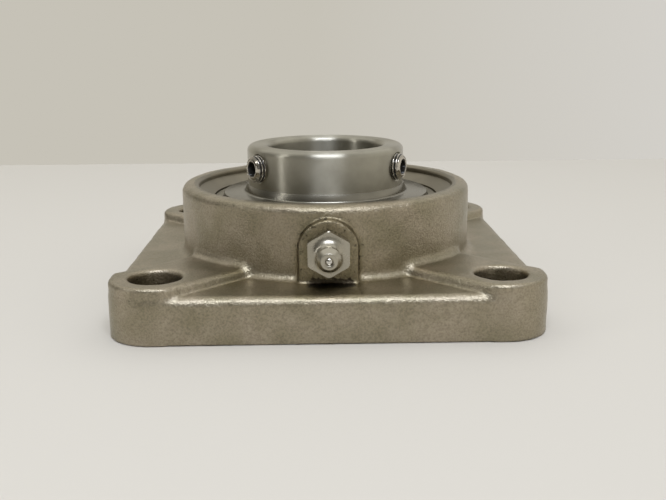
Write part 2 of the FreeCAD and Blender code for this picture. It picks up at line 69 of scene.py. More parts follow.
# --- the casting, in millimetres ----------------------------------------------------------
HALF_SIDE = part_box("flange_housing")[1].x / MM
HALF_BOLTS = 46.0
BOLT_HOLE_R = 7.0
BOLT_HOLE_ROUNDING = 1.1
EAR_R = HALF_SIDE - HALF_BOLTS
PLATE_TOP_Z = 12.8
ARM_TOP_Z = 15.4
ARM_SIDE_ROUNDING = 2.2
ARM_FILLET = 0.9
PLATE_EDGE_ROUNDING = 2.4
ARM_EDGE_ROUNDING = 1.0
BASE_EDGE_ROUNDING = 0.5
BOSS_R = 44.1
BOSS_TOP_Z = 33.4
BOSS_FOOT_FILLET = 2.4
RIM_ROUNDING = 2.2
PAD_FACE_Y = -46.0
PAD_HALF = 8.1
PAD_ARCH_Z = 22.0
PAD_ROUNDING = 0.75
PAD_FILLET = 0.85
RIM_WALL = 7.0
BEARING_WALL_R = 43.6
POCKET_DEPTH = 8.3
POCKET_CORNER_R = 2.5
POCKET_FLOOR_ROUNDING = 1.0
POCKET_RIB_HALF = 5.0
POCKET_EAR_R = 13.2

# The casting is shaped on a grid of cells, where distances count within a band of its skin.
CELL = 0.5
BAND = 3 * CELL
MARGIN = 2.0
CASTING_TRIANGLES = 170000

# Waviness of the cast skin: wavelength and height. It dies out towards the base.
WAVES = ((16.0, 0.05), (6.0, 0.035), (2.4, 0.022))
WAVES_PER_SIZE = 8
FLAT_BASE = 2.0

# --- machined surfaces of the casting -----------------------------------------------------
SEAT_Z = 19.0
SEAT_R = 36.02
COUNTERBORE_R = 39.0
COUNTERBORE_LIP = 1.0
COUNTERBORE_LIP_STEPS = 6
LEDGE_Z = 29.4
LEDGE_RIM_Z = 31.6
BACK_RECESS_R = 38.0
BACK_RECESS_DEPTH = 8.6
GROOVE_R = 37.02
GROOVE_HALF = 1.6
SLOT_REACH = 36.3
SLOT_HALF_WIDTH = 10.3
NOTCH_R = 38.0
NOTCH_HALF = 1.7
NOTCH_TOP_Z = 22.2
FITTING_Z = 21.5
FITTING_HOLE_R = 4.85
FITTING_HOLE_DEPTH = 6.6
CHANNEL_R = 2.0
CHANNEL_OVERRUN = 0.5
CUTTER_BOTTOM_Z = -1
MACHINED_R = 40.4

# --- dirt and painted shade on the casting: strengths, places and how far each fades, in millimetres ---
# Painted shade inside the bolt holes.
HOLE_SHADE = 0.38
HOLE_SHADE_R = BOLT_HOLE_R + 0.9
HOLE_SHADE_FADE = 0.7
HOLE_SHADE_TOP_Z = ARM_TOP_Z - 0.4
HOLE_SHADE_TOP_FADE = 1.2
# Grease smear under the fitting, with painted shade there.
SMEAR = 0.95
SMEAR_CENTER = (0.8, -47.6, 13.0)
SMEAR_HALF_LENGTH = 4.5
SMEAR_SPREAD = (1.6, 2.2, 1.6)
SMEAR_FADE = 2.6
GREASING_SIDE_Y = -42.5
GREASING_SIDE_Z = PLATE_TOP_Z - 0.5
# Painted shade along the crease round the pad.
PAD_LINE = 0.56
PAD_LINE_OFFSET = 0.1
PAD_LINE_WIDTH = 0.5
SPECKS = 0.40
SPECKS_R = 9
# Painted shade on the boss's front, darkest on the pad.
FRONT_SHADE_AROUND = 0.45
FRONT_SHADE_ON_PAD = 0.55
FRONT_SHADE_PAD_START = 1.2
FRONT_SHADE_PAD_FADE = 1.5
FRONT_SHADE_HALF_WIDTH = 42
FRONT_SHADE_Y = -30
FRONT_SHADE_Z = 12

# --- grease fitting: heights are distances from the pad's face ----------------------------
FITTING_SHANK = 6.0
FITTING_SHANK_R = 4.8
SHANK_CHAMFER = 0.6
HEX_FLATS = 11.1
HEX_TOP = 3.3
NECK_FILLET = 2.7
NECK_R = 2.5
NECK_TOP = 7.85
HEAD_R = 3.25
HEAD_UNDERSIDE = 8.25
HEAD_UNDERCUT = 0.25
HEAD_WIDEST = 8.7
HEAD_ROUNDING = 0.45
TIP = 10.6
TIP_R = 2.3
TIP_ROUNDING = 0.35
VALVE_BORE_R = 1.45
VALVE_BORE_START = 1.0
VALVE_SEAT_R = 1.0
VALVE_SEAT = 0.5
VALVE_SEAT_SLOPE = 0.45
SPRING_STOP_R = 0.8

# The hexagon's ends: how far its corners are turned down, and at what height.
HEX_CORNERS = ((0.5, 0), (0, 0.35), (0, HEX_TOP - 0.2), (0.1, HEX_TOP - 0.06), (0.25, HEX_TOP))

# The mouth of the valve seat: how much wider than the seat, and how deep.
VALVE_MOUTH = ((0.35, 0), (0.1, 0.15), (0, VALVE_SEAT))

# --- front slinger ------------------------------------------------------------------------
COLLAR_R = 24.0
SLINGER_R = 31.5
SLINGER_BACK_Z = 29.55
SLINGER_FRONT_Z = 30.5
SLINGER_END_Z = 32.9
SLINGER_BACK_CHAMFER = 0.15
SLINGER_EDGE_ROUNDING = 0.25
SLINGER_EDGE_MIDDLE = 0.08
SLINGER_BEND = 0.7
SLEEVE_R = 24.95
SLEEVE_END_WALL = 0.2

# --- set screws (M8) ----------------------------------------------------------------------
SCREW_R = 3.95
SCREW_LENGTH = 7.8
THREAD_PITCH = 1.0
THREAD_DEPTH = 0.55
THREAD_CREST = 0.15
THREAD_STEPS = 10
THREAD_START = 0.7
THREAD_RUNOUT = 0.6
THREAD_END_SLOPE = 1.3
FACE_INSET = 0.85
FACE_DROP = 0.2
POINT_INSET = 0.8
SOCKET_FLATS = 4.0
SOCKET_MOUTH_R = SOCKET_FLATS * 0.59
SOCKET_CHAMFER = 0.15
SOCKET_DEPTH = 4.2
SOCKET_POINT = 0.7
CUP_R = 2.4
CUP_DEPTH = 1.4

# The raised rim round the socket: how far outside its mouth, and how high.
SOCKET_RIM = ((0, 0), (0.15, 0.03), (0.35, 0))

# Painted shade on a screw: the socket's wall, the unshaded depth in it, the unshaded crests and
# outer turns.
SOCKET_WALL_R = SOCKET_FLATS * 0.585
SOCKET_UNSHADED_DEPTH = 0.1
CREST_UNSHADED = 0.1
FACE_UNSHADED_DEPTH = 0.45
THREAD_SHADE_FADE = 0.2

# Points round each turned piece.
SEAT_SEGMENTS = 256
FITTING_BORE_SEGMENTS = 48
FITTING_SEGMENTS = 96
SLINGER_SEGMENTS = 160
SCREW_SEGMENTS = 72

# --- colours ------------------------------------------------------------------------------
CAST_OLIVE = (0.31, 0.276, 0.192)
CAST_BROWN = (0.41, 0.355, 0.268)
# Grime and painted shade on the casting.
GRIME_AND_SHADE = (0.055, 0.045, 0.03)
# Painted shade on the boss's front.
FRONT_SHADE = (0.74, 0.72, 0.64)
# Painted shade in the screws' socket and thread.
HOLLOW_SHADE = (0.03, 0.028, 0.024)
RUBBER_DARK = (0.018, 0.018, 0.018)
RUBBER_LIGHT = (0.04, 0.038, 0.036)
FLOOR_COLOR = (0.635, 0.605, 0.545)
WALL_LEFT = (0.565, 0.539, 0.473)
WALL_RIGHT = (0.65, 0.63, 0.59)
ROOM_LEFT = (0.12, 0.115, 0.10)
ROOM_RIGHT = (0.84, 0.81, 0.74)
CEILING_COLOR = (0.45, 0.44, 0.40)

# --- surfaces -----------------------------------------------------------------------------
# Each steel's colour and roughness.
STEELS = {
    "machined_steel": ((0.225, 0.2, 0.148), 0.34),
    "plated_steel": ((0.40, 0.372, 0.305), 0.27),
    "ground_steel": ((0.41, 0.39, 0.325), 0.35),
    "polished_steel": ((0.255, 0.24, 0.20), 0.25),
    "bright_steel": ((0.64, 0.62, 0.58), 0.1),
    "pressed_steel": ((0.5, 0.49, 0.46), 0.32),
    "spring_steel": ((0.38, 0.37, 0.35), 0.3),
    "screw_steel": ((0.54, 0.50, 0.435), 0.13),
}
# How a steel's colour and roughness vary, as factors of its own.
STEEL_SHADES = (0.88, 1.06)
STEEL_SHINE = (0.9, 1.12)
CAST_ROUGHNESS = (0.295, 0.375)
RUBBER_ROUGHNESS = (0.45, 0.62)
FLOOR_ROUGHNESS = 0.7
FLOOR_SPECULAR = 0.2
GRAIN_SHADES = ((0.72, 0.72, 0.72), (1.05, 1.05, 1.05))

# Noises: scale, detail and roughness. Most of a noise lies within NOISE_MIDDLE.
BLOTCHES = (110, 5, 0.5)
GRAIN = (1900, 3, 0.6)
# Breaks up the casting's grime and painted shade.
CAST_GRIME_AND_SHADE = (900, 4, 0.6)
STEEL_STAINS = (160, 4, 0.5)
# Breaks up the painted shade on the screws.
HOLLOW_SHADE_BREAKUP = (1500, 3, 0.5)
TOOL_MARKS = (2600, 2, 0.5)
RUBBER_BLOOM = (400, 4, 0.5)
NOISE_MIDDLE = (0.3, 0.7)

# --- stage, in metres ---------------------------------------------------------------------
FLOOR_NEAR, FLOOR_FAR, FLOOR_SIDE = -1.6, 0.271, 1.6

# --- camera: place in millimetres, angles in degrees, lens in millimetres -----------------
CAMERA_PLACE = (-3.68, -270.83, 77.62)
CAMERA_YAW, CAMERA_PITCH, CAMERA_ROLL = 1.24, 13.88, -0.375
CAMERA_LENS = 47.384
CAMERA_SENSOR = 36
CAMERA_NEAREST = 0.01


# --- distance helpers ---------------------------------------------------------------------
def round_max(a, b, radius):
    """Intersection of two solids given as distances, with its edge rounded."""
    u = np.maximum(a + radius, 0)
    v = np.maximum(b + radius, 0)
    return np.minimum(np.maximum(a, b), -radius) + np.sqrt(u * u + v * v)


def round_min(a, b, radius):
    """Union of two solids given as distances, with a fillet where they meet."""
    u = np.maximum(radius - a, 0)
    v = np.maximum(radius - b, 0)
    return np.maximum(np.minimum(a, b), radius) - np.sqrt(u * u + v * v)


def smooth_step(t):
    """A soft step from 0 to 1 as t goes from 0 to 1."""
    t = np.clip(t, 0, 1)
    return t * t * (3 - 2 * t)


# --- meshes -------------------------------------------------------------------------------
def new_piece(name, points, faces):
    mesh = bpy.data.meshes.new(name)
    mesh.from_pydata(points, [], faces)
    piece = bpy.data.objects.new(name, mesh)
    bpy.context.scene.collection.objects.link(piece)
    return piece


def apply_modifiers(piece):
    graph = bpy.context.evaluated_depsgraph_get()
    mesh = bpy.data.meshes.new_from_object(piece.evaluated_get(graph))
    piece.modifiers.clear()
    piece.data = mesh


def smooth_shading(piece, degrees):
    mesh = piece.data
    mesh.shade_smooth()
    mesh.set_sharp_from_angle(angle=math.radians(degrees))


def ring_points(radius, z, segments):
    """One ring of a turned solid. The radius is a number, or a function of the angle."""
    points = []
    for k in range(segments):
        angle = 2 * math.pi * k / segments
        r = radius(angle) if callable(radius) else radius
        points.append((r * MM * math.cos(angle), r * MM * math.sin(angle), z * MM))
    return points


def turned_mesh(name, profile, segments):
    """A solid from an (r, z) profile: one with both ends on the axis, or else a closed loop."""
    points, faces, rings = [], [], []
    for r, z in profile:
        ring = [(0, 0, z * MM)] if r == 0 else ring_points(r, z, segments)
        rings.append(list(range(len(points), len(points) + len(ring))))
        points += ring
    if len(rings[0]) > 1:
        rings.append(rings[0])
    for low, high in zip(rings, rings[1:]):
        for k in range(segments):
            n = (k + 1) % segments
            if len(low) == 1:
                faces.append((low[0], high[n], high[k]))
            elif len(high) == 1:
                faces.append((low[k], low[n], high[0]))
            else:
                faces.append((low[k], low[n], high[n], high[k]))
    return new_piece(name, points, faces)


def arc(center, radius, start, end, steps):
    """Points (r, z) along an arc between two angles in degrees."""
    angles = [math.radians(start + (end - start) * k / steps) for k in range(steps + 1)]
    return [(center[0] + radius * math.cos(a), center[1] + radius * math.sin(a)) for a in angles]


def hexagon(flats, first_corner):
    """The radius of a hexagon as a function of the angle."""
    def radius(angle):
        from_corner = (angle - math.radians(first_corner)) % (math.pi / 3)
        return flats / 2 / math.cos(from_corner - math.pi / 6)
    return radius


def no_wider(radius, limit):
    """A radius that is held inside another one that depends on the angle."""
    return lambda angle: min(radius, limit(angle))


def stand(piece, place, direction):
    """Put a piece made along +Z at a place in millimetres, pointing in a direction."""
    turn = Vector((0, 0, 1)).rotation_difference(Vector(direction)).to_matrix().to_4x4()
    piece.data.transform(Matrix.Translation(Vector(place) * MM) @ turn)


def block_mesh(name, low, high):
    """A box between two corners in millimetres."""
    outline = ((low[0], low[1]), (high[0], low[1]), (high[0], high[1]), (low[0], high[1]))
    corners = [(x * MM, y * MM, z * MM) for z in (low[2], high[2]) for x, y in outline]
    sides = [(k, (k + 1) % 4, 4 + (k + 1) % 4, 4 + k) for k in range(4)]
    return new_piece(name, corners, [(3, 2, 1, 0), (4, 5, 6, 7)] + sides)


def cut(piece, cutter):
    modifier = piece.modifiers.new("cut", "BOOLEAN")
    modifier.operation = "DIFFERENCE"
    modifier.solver = "MANIFOLD"
    modifier.object = cutter
    apply_modifiers(piece)
    bpy.data.objects.remove(cutter)


# --- casting ------------------------------------------------------------------------------
def cast_distance():
    """The signed distance of the casting before machining, on a regular grid, and its origin."""
    low = np.array([-HALF_SIDE - MARGIN, -HALF_SIDE - MARGIN, -MARGIN])
    high = np.array([HALF_SIDE + MARGIN, HALF_SIDE + MARGIN, BOSS_TOP_Z + MARGIN])
    counts = np.ceil((high - low) / CELL).astype(int) + 1
    axes = [(low[i] + CELL * np.arange(counts[i])).astype(np.float32) for i in range(3)]
    x, y, z = axes[0][:, None, None], axes[1][None, :, None], axes[2][None, None, :]
    ax, ay = np.abs(x), np.abs(y)
    radius = np.hypot(x, y)
    corner_x, corner_y = ax - HALF_BOLTS, ay - HALF_BOLTS
    outline = np.hypot(np.maximum(corner_x, 0), np.maximum(corner_y, 0))
    outline = outline + np.minimum(np.maximum(corner_x, corner_y), 0) - EAR_R
    arms = np.abs(ax - ay) / math.sqrt(2) - EAR_R
    plate = round_max(outline, z - PLATE_TOP_Z, PLATE_EDGE_ROUNDING)
    raised = round_max(outline, z - ARM_TOP_Z, ARM_EDGE_ROUNDING)
    raised = round_max(raised, arms, ARM_SIDE_ROUNDING)
    flange = round_min(plate, raised, ARM_FILLET)
    boss = round_max(radius - BOSS_R, z - BOSS_TOP_Z, RIM_ROUNDING)
    body = round_min(flange, boss, BOSS_FOOT_FILLET)
    pad = round_max(pad_arch(x, z), PAD_FACE_Y - y, PAD_ROUNDING)
    pad = np.maximum(pad, y + BOSS_R / 2)
    body = round_min(body, pad, PAD_FILLET)
    holes = BOLT_HOLE_R - np.hypot(corner_x, corner_y)
    body = round_max(body, holes, BOLT_HOLE_ROUNDING)
    body = np.maximum(body, -pockets(ax, ay, radius, corner_x, corner_y, z))
    body = round_max(body, -z, BASE_EDGE_ROUNDING)
    near = np.nonzero(np.abs(body) < BAND)
    body[near] += unevenness(*[axes[i][near[i]] for i in range(3)])
    return body.astype(np.float32), low


def pad_arch(x, z):
    """How far a point is outside the arched outline of the fitting's pad, seen along Y."""
    return np.where(z > PAD_ARCH_Z, np.hypot(x, z - PAD_ARCH_Z), np.abs(x)) - PAD_HALF


def unevenness(x, y, z):
    """The gentle waviness of the cast skin, in millimetres. The base is left flat."""
    random = np.random.default_rng(7)
    total = np.zeros_like(x)
    for wavelength, height in WAVES:
        for _ in range(WAVES_PER_SIZE):
            across = random.normal(size=3)
            across *= 2 * math.pi / wavelength / np.linalg.norm(across)
            phase = random.uniform(0, 2 * math.pi)
            wave = np.sin(across[0] * x + across[1] * y + across[2] * z + phase)
            total += height / math.sqrt(WAVES_PER_SIZE) * wave
    return total * smooth_step(z / FLAT_BASE)


def pockets(ax, ay, radius, corner_x, corner_y, z):
    """The cored pockets of the back, between the rim, the bearing wall, the ribs and the ears."""
    plan = np.maximum(ax, ay) - (HALF_SIDE - RIM_WALL)
    for wall in (BEARING_WALL_R - radius,
                 POCKET_RIB_HALF - np.abs(ax - ay) / math.sqrt(2),
                 POCKET_EAR_R - np.hypot(corner_x, corner_y)):
        plan = round_max(plan, wall, POCKET_CORNER_R)
    return round_max(plan, z - POCKET_DEPTH, POCKET_FLOOR_ROUNDING)


def cast_skin():
    """The casting before machining, as a mesh."""
    distance, low = cast_distance()
    grid = openvdb.FloatGrid(background=BAND)
    grid.copyFromArray(np.clip(distance, -BAND, BAND))
    grid.gridClass = openvdb.GridClass.LEVEL_SET
    points, quads = grid.convertToQuads(isovalue=0.0)
    points = (points * CELL + low) * MM
    piece = new_piece("housing_casting", points.tolist(), quads[:, ::-1].tolist())
    thin_out(piece, CASTING_TRIANGLES / (2 * len(quads)))
    return piece


def thin_out(piece, ratio):
    modifier = piece.modifiers.new("thin_out", "DECIMATE")
    modifier.ratio = ratio
    apply_modifiers(piece)


def seat_profile():
    """The bore of the casting from front to back: counterbore, ledge, seat and back recess."""
    profile = [(0, BOSS_TOP_Z + MARGIN), (COUNTERBORE_R + MARGIN, BOSS_TOP_Z + MARGIN)]
    lip = COUNTERBORE_LIP
    for k in range(COUNTERBORE_LIP_STEPS + 1):
        angle = math.pi / 2 * k / COUNTERBORE_LIP_STEPS
        profile.append((COUNTERBORE_R + lip - lip * math.sin(angle),
                        BOSS_TOP_Z - lip + lip * math.cos(angle)))
    profile.append((COUNTERBORE_R, LEDGE_RIM_Z))
    top = math.degrees(math.asin((LEDGE_Z - SEAT_Z) / SEAT_R))
    groove_top = math.degrees(math.asin((FITTING_Z + GROOVE_HALF - SEAT_Z) / SEAT_R))
    groove_bottom = math.degrees(math.asin((FITTING_Z - GROOVE_HALF - SEAT_Z) / SEAT_R))
    bottom = -math.degrees(math.asin((SEAT_Z - BACK_RECESS_DEPTH) / SEAT_R))
    profile += arc((0, SEAT_Z), SEAT_R, top, groove_top, 12)
    profile += [(GROOVE_R, FITTING_Z + GROOVE_HALF), (GROOVE_R, FITTING_Z - GROOVE_HALF)]
    profile += arc((0, SEAT_Z), SEAT_R, groove_bottom, bottom, 16)
    profile += [(BACK_RECESS_R, BACK_RECESS_DEPTH), (BACK_RECESS_R, -MARGIN), (0, -MARGIN)]
    return profile


def fitting_bore():
    """The tapped hole in the pad with the grease passage behind it."""
    inward = abs(PAD_FACE_Y) - SEAT_R
    bore = turned_mesh("fitting_bore", [
        (0, -inward - CHANNEL_OVERRUN),
        (CHANNEL_R, -inward - CHANNEL_OVERRUN),
        (CHANNEL_R, -FITTING_HOLE_DEPTH),
        (FITTING_HOLE_R, -FITTING_HOLE_DEPTH),
        (FITTING_HOLE_R, MARGIN),
        (0, MARGIN),
    ], FITTING_BORE_SEGMENTS)
    stand(bore, (0, PAD_FACE_Y, FITTING_Z), (0, -1, 0))
    return bore


def mark_machined(piece, slot):
    """Give the faces inside the bore their own material slot."""
    mesh = piece.data
    centers = np.empty(len(mesh.polygons) * 3, np.float32)
    mesh.polygons.foreach_get("center", centers)
    x, y = centers[0::3] / MM, centers[1::3] / MM
    inside = np.hypot(x, y) < MACHINED_R
    mesh.polygons.foreach_set("material_index", np.where(inside, slot, 0).astype(np.int32))


def hole_shade(x, y, z):
    """Painted shade in the bolt holes, up to just below their edge."""
    hole = np.hypot(np.abs(x) - HALF_BOLTS, np.abs(y) - HALF_BOLTS)
    inside = smooth_step((HOLE_SHADE_R - hole) / HOLE_SHADE_FADE)
    return inside * smooth_step((HOLE_SHADE_TOP_Z - z) / HOLE_SHADE_TOP_FADE) * HOLE_SHADE


def foot_grease_and_shade(x, y, z):
    """The smear of old grease at the foot of the fitting's pad, with painted shade under the
    fitting.
    """
    center, spread = SMEAR_CENTER, SMEAR_SPREAD
    along = np.maximum(np.abs(x - center[0]) - SMEAR_HALF_LENGTH, 0) / spread[0]
    off = np.hypot((y - center[1]) / spread[1], (z - center[2]) / spread[2])
    return SMEAR * (1 - smooth_step(np.hypot(along, off) / SMEAR_FADE))


def pad_shade_and_specks(x, y, z):
    """A painted shade line in the crease round the pad, and dirt specks about the fitting."""
    on_front = (y < GREASING_SIDE_Y) * (z > GREASING_SIDE_Z)
    from_line = np.abs(pad_arch(x, z) - PAD_LINE_OFFSET)
    line = PAD_LINE * (1 - smooth_step(from_line / PAD_LINE_WIDTH)) * on_front
    from_specks = np.hypot(x, z - FITTING_Z) - SPECKS_R
    specks = SPECKS * (1 - smooth_step(from_specks / SPECKS_R)) * on_front
    return np.maximum(line, specks)


def boss_front_shade(x, y, z):
    """Painted shade on the front of the boss: darkest on the pad, fading to both sides."""
    on_pad = smooth_step(FRONT_SHADE_PAD_START - pad_arch(x, z) / FRONT_SHADE_PAD_FADE)
    fade = 1 - smooth_step(np.abs(x) / FRONT_SHADE_HALF_WIDTH)
    return (FRONT_SHADE_AROUND + FRONT_SHADE_ON_PAD * on_pad) * fade * (y < FRONT_SHADE_Y) * (z > FRONT_SHADE_Z)


def paint(mesh, name, values):
    """Give every vertex a value that a material can read by name."""
    marks = mesh.attributes.new(name, "FLOAT", "POINT").data
    marks.foreach_set("value", values.astype(np.float32))


def mark_dirt_and_shade(piece):
    """Paint where dirt, old grease and painted shade go on the casting, and the painted shade on the
    boss's front.
    """
    mesh = piece.data
    points = np.empty(len(mesh.vertices) * 3, np.float32)
    mesh.vertices.foreach_get("co", points)
    place = [points[i::3] / MM for i in range(3)]
    grime_and_shade = [hole_shade(*place), foot_grease_and_shade(*place), pad_shade_and_specks(*place)]
    paint(mesh, "grime_and_shade", np.maximum.reduce(grime_and_shade))
    paint(mesh, "front_shade", boss_front_shade(*place))


def housing():
    """The casting, bored for the insert and the fitting, slotted and notched."""
    piece = cast_skin()
    cut(piece, turned_mesh("seat_cutter", seat_profile()[::-1], SEAT_SEGMENTS))
    cut(piece, fitting_bore())
    cut(piece, block_mesh("slot_cutter", (-SLOT_REACH, -SLOT_HALF_WIDTH, CUTTER_BOTTOM_Z),
                          (SLOT_REACH, SLOT_HALF_WIDTH, SEAT_Z)))
    cut(piece, block_mesh("notch_cutter", (0, -NOTCH_HALF, CUTTER_BOTTOM_Z),
                          (NOTCH_R, NOTCH_HALF, NOTCH_TOP_Z)))
    smooth_shading(piece, degrees=35)
    piece.data.materials.clear()
    piece.data.materials.append(cast_stainless())
    piece.data.materials.append(steel("machined_steel"))
    mark_machined(piece, slot=1)
    mark_dirt_and_shade(piece)
    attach(piece, "housing")
    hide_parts("flange_housing")


# --- grease fitting -----------------------------------------------------------------------
def grease_fitting():
    """A hexagon, a neck that flares into it and a button head, bored for the ball and spring."""
    side = hexagon(HEX_FLATS, 90)
    corner_r = HEX_FLATS / math.sqrt(3)
    neck = (NECK_R + NECK_FILLET, HEX_TOP + NECK_FILLET)
    profile = [(SPRING_STOP_R, -FITTING_SHANK), (FITTING_SHANK_R - SHANK_CHAMFER, -FITTING_SHANK)]
    profile += [(FITTING_SHANK_R, SHANK_CHAMFER - FITTING_SHANK), (FITTING_SHANK_R, 0)]
    profile += [(no_wider(corner_r - turned_down, side), z) for turned_down, z in HEX_CORNERS]
    profile += arc(neck, NECK_FILLET, 270, 180, 12)
    profile += [(NECK_R, NECK_TOP), (HEAD_R - HEAD_UNDERCUT, HEAD_UNDERSIDE)]
    profile += arc((HEAD_R - HEAD_ROUNDING, HEAD_WIDEST), HEAD_ROUNDING, -50, 30, 6)
    profile += arc((TIP_R - TIP_ROUNDING, TIP - TIP_ROUNDING), TIP_ROUNDING, 30, 90, 5)
    profile += [(VALVE_SEAT_R + wider, TIP - depth) for wider, depth in VALVE_MOUTH]
    profile += [(VALVE_BORE_R, TIP - VALVE_SEAT - VALVE_SEAT_SLOPE)]
    profile += [(VALVE_BORE_R, VALVE_BORE_START), (SPRING_STOP_R, VALVE_BORE_START)]
    piece = turned_mesh("grease_fitting_mesh", profile, FITTING_SEGMENTS)
    stand(piece, (0, PAD_FACE_Y, FITTING_Z), (0, -1, 0))
    smooth_shading(piece, degrees=32)
    piece.data.materials.append(steel("plated_steel"))
    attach(piece, "housing")
    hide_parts("grease_fitting_body")


def fitting_spring(material):
    """The spring behind the check ball, a copy of the model's own solid; it is not made to shorten
    as the ball is pushed in.
    """
    node = "grease_fitting_spring"
    piece = bpy.data.objects.new(node + "_coil", frame["nodes"][node].data.copy())
    bpy.context.scene.collection.objects.link(piece)
    piece.data.materials.clear()
    piece.data.materials.append(material)
    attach(piece, "housing")
    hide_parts(node)
    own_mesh(piece)


# --- front slinger ------------------------------------------------------------------------
def front_slinger(material):
    """A pressed disc that bends up into a short sleeve round the collar."""
    edge, middle = SLINGER_EDGE_ROUNDING, SLINGER_EDGE_MIDDLE
    bend = (SLEEVE_R + SLINGER_BEND, SLINGER_FRONT_Z + SLINGER_BEND)
    profile = [(COLLAR_R, SLINGER_BACK_Z), (SLINGER_R - SLINGER_BACK_CHAMFER, SLINGER_BACK_Z)]
    profile.append((SLINGER_R, SLINGER_BACK_Z + SLINGER_BACK_CHAMFER))
    profile.append((SLINGER_R, SLINGER_FRONT_Z - edge))
    profile.append((SLINGER_R - middle, SLINGER_FRONT_Z - middle))
    profile.append((SLINGER_R - edge, SLINGER_FRONT_Z))
    profile += arc(bend, SLINGER_BEND, 270, 180, 8)
    profile += [(COLLAR_R + SLEEVE_END_WALL, SLINGER_END_Z), (COLLAR_R, SLINGER_END_Z)]
    piece = turned_mesh("front_slinger_mesh", profile, SLINGER_SEGMENTS)
    smooth_shading(piece, degrees=30)
    piece.data.materials.append(material)
    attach(piece, "inner_ring")
    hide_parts("front_slinger")


# --- set screws ---------------------------------------------------------------------------
def thread(z, widest):
    """The threaded radius at a height: a helical ridge with a flattened crest, under a limit."""
    def radius(angle):
        turn = (z / THREAD_PITCH - angle / (2 * math.pi)) % 1
        groove = max(0, abs(turn - 0.5) * 2 - THREAD_CREST) / (1 - THREAD_CREST)
        return min(widest, SCREW_R - THREAD_DEPTH * groove)
    return radius


def mark_thread(piece):
    """Painted shade in the socket and at the bottom of the thread."""
    grime_and_shade = piece.data.attributes.new("grime_and_shade", "FLOAT", "POINT").data
    for vertex, mark in zip(piece.data.vertices, grime_and_shade):
        radius, depth = vertex.co.xy.length / MM, -vertex.co.z / MM
        in_socket = radius < SOCKET_WALL_R and depth > SOCKET_UNSHADED_DEPTH
        below_crest = smooth_step((SCREW_R - CREST_UNSHADED - radius) / THREAD_SHADE_FADE)
        below_face = smooth_step((depth - FACE_UNSHADED_DEPTH) / THREAD_SHADE_FADE)
        mark.value = 1.0 if in_socket else below_crest * below_face


def set_screw(side, material):
    """A hexagon-socket screw with a cup point, along its own travel joint."""
    node = "set_screw_" + side
    travel = next(j for j in frame["record"]["behaviour"]["joints"] if j["name"] == node + "_travel")
    low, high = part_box(node)
    center = (low + high) / 2 / MM
    direction = Vector(travel["axis"])
    end = center.xy.dot(direction.xy) + SCREW_LENGTH / 2
    socket = hexagon(SOCKET_FLATS, 0)
    profile = [(0, -SOCKET_DEPTH - SOCKET_POINT), (socket, -SOCKET_DEPTH), (socket, -SOCKET_CHAMFER)]
    profile += [(SOCKET_MOUTH_R + out, z) for out, z in SOCKET_RIM]
    profile.append((SCREW_R - FACE_INSET, -FACE_DROP))
    rows = int(SCREW_LENGTH / THREAD_PITCH * THREAD_STEPS)
    for k in range(1, rows):
        z = -SCREW_LENGTH * k / rows
        from_end = max(0, THREAD_START + z, THREAD_RUNOUT - SCREW_LENGTH - z)
        profile.append((thread(z, SCREW_R - from_end * THREAD_END_SLOPE), z))
    profile += [(SCREW_R - POINT_INSET, -SCREW_LENGTH), (CUP_R, -SCREW_LENGTH)]
    profile.append((0, CUP_DEPTH - SCREW_LENGTH))
    piece = turned_mesh(node + "_threaded", profile[::-1], SCREW_SEGMENTS)
    mark_thread(piece)
    stand(piece, (direction.x * end, direction.y * end, center.z), direction)
    smooth_shading(piece, degrees=40)
    piece.data.materials.append(material)
    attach(piece, node)
    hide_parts(node)


# --- materials ----------------------------------------------------------------------------
def new_material(name):
    material = bpy.data.materials.new(name)
    material.use_nodes = True
    return material, material.node_tree.nodes, material.node_tree.links


def noise_texture(nodes, links, place, noise):
    """A noise over the object's own coordinates, which are in metres."""
    texture = nodes.new("ShaderNodeTexNoise")
    for name, value in zip(("Scale", "Detail", "Roughness"), noise):
        texture.inputs[name].default_value = value
    links.new(place.outputs["Object"], texture.inputs["Vector"])
    return texture


def color_ramp(nodes, links, source, low, high, dark, light):
    ramp = nodes.new("ShaderNodeValToRGB")
    ramp.color_ramp.elements[0].position = low
    ramp.color_ramp.elements[0].color = (*dark, 1)
    ramp.color_ramp.elements[1].position = high
    ramp.color_ramp.elements[1].color = (*light, 1)
    links.new(source, ramp.inputs["Fac"])
    return ramp


def map_range(nodes, links, source, low, high, to_low=0.0, to_high=1.0):
    span = nodes.new("ShaderNodeMapRange")
    limits = {"From Min": low, "From Max": high, "To Min": to_low, "To Max": to_high}
    for name, value in limits.items():
        span.inputs[name].default_value = value
    links.new(source, span.inputs["Value"])
    return span


def mix_colors(nodes, links, blend, factor, a, b):
    mix = nodes.new("ShaderNodeMix")
    mix.data_type = "RGBA"
    mix.blend_type = blend
    if isinstance(factor, float):
        mix.inputs["Factor"].default_value = factor
    else:
        links.new(factor, mix.inputs["Factor"])
    links.new(a, mix.inputs["A"])
    if isinstance(b, tuple):
        mix.inputs["B"].default_value = (*b, 1)
    else:
        links.new(b, mix.inputs["B"])
    return mix.outputs["Result"]


def bump(nodes, links, shader, source, strength, distance):
    made = nodes.new("ShaderNodeBump")
    made.inputs["Strength"].default_value = strength
    made.inputs["Distance"].default_value = distance
    links.new(source, made.inputs["Height"])
    links.new(made.outputs["Normal"], shader.inputs["Normal"])


def painted(nodes, name):
    """The value that was painted on the mesh under a name."""
    attribute = nodes.new("ShaderNodeAttribute")
    attribute.attribute_name = name
    return attribute.outputs["Fac"]


def grime_and_shade_amount(nodes, links, place, noise, low, high):
    """How much grime and painted shade covers a point: the painted value, broken up by a noise."""
    breakup = noise_texture(nodes, links, place, noise)
    reach = nodes.new("ShaderNodeMath")
    reach.operation = "ADD"
    links.new(painted(nodes, "grime_and_shade"), reach.inputs[0])
    links.new(breakup.outputs["Fac"], reach.inputs[1])
    return map_range(nodes, links, reach.outputs["Value"], low, high).outputs["Result"]


